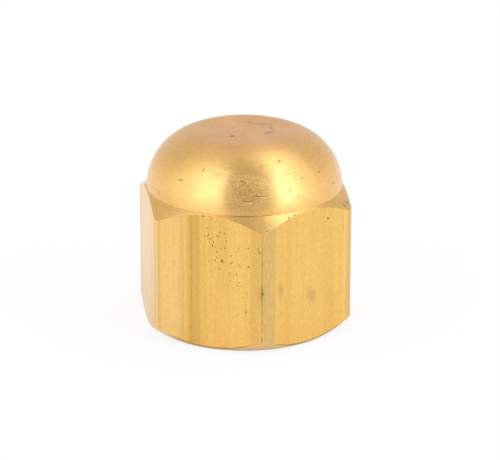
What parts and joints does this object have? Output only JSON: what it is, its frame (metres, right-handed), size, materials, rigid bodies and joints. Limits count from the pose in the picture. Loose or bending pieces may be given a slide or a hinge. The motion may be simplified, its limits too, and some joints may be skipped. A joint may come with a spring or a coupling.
{
  "type": "flare cap",
  "caption": "Blind hexagonal cap nut with a rounded crown. It screws over a male flare fitting and closes it on a conical seat inside.",
  "frame": {"origin": "centre of the open mouth, in the plane of the mouth's rim, which is also the bottom centre of the bounding box", "axes": "+Z along the axis from the mouth to the crown; +X square to a flat of the hexagon; +Y to a corner"},
  "size_m": [0.019, 0.0216, 0.0191],
  "materials": {
    "brass": "bright turned crown and drawn flats, lightly scratched and pitted"
  },
  "bodies": {
    "root": {"flare_cap": "brass"}
  },
  "joints": []
}
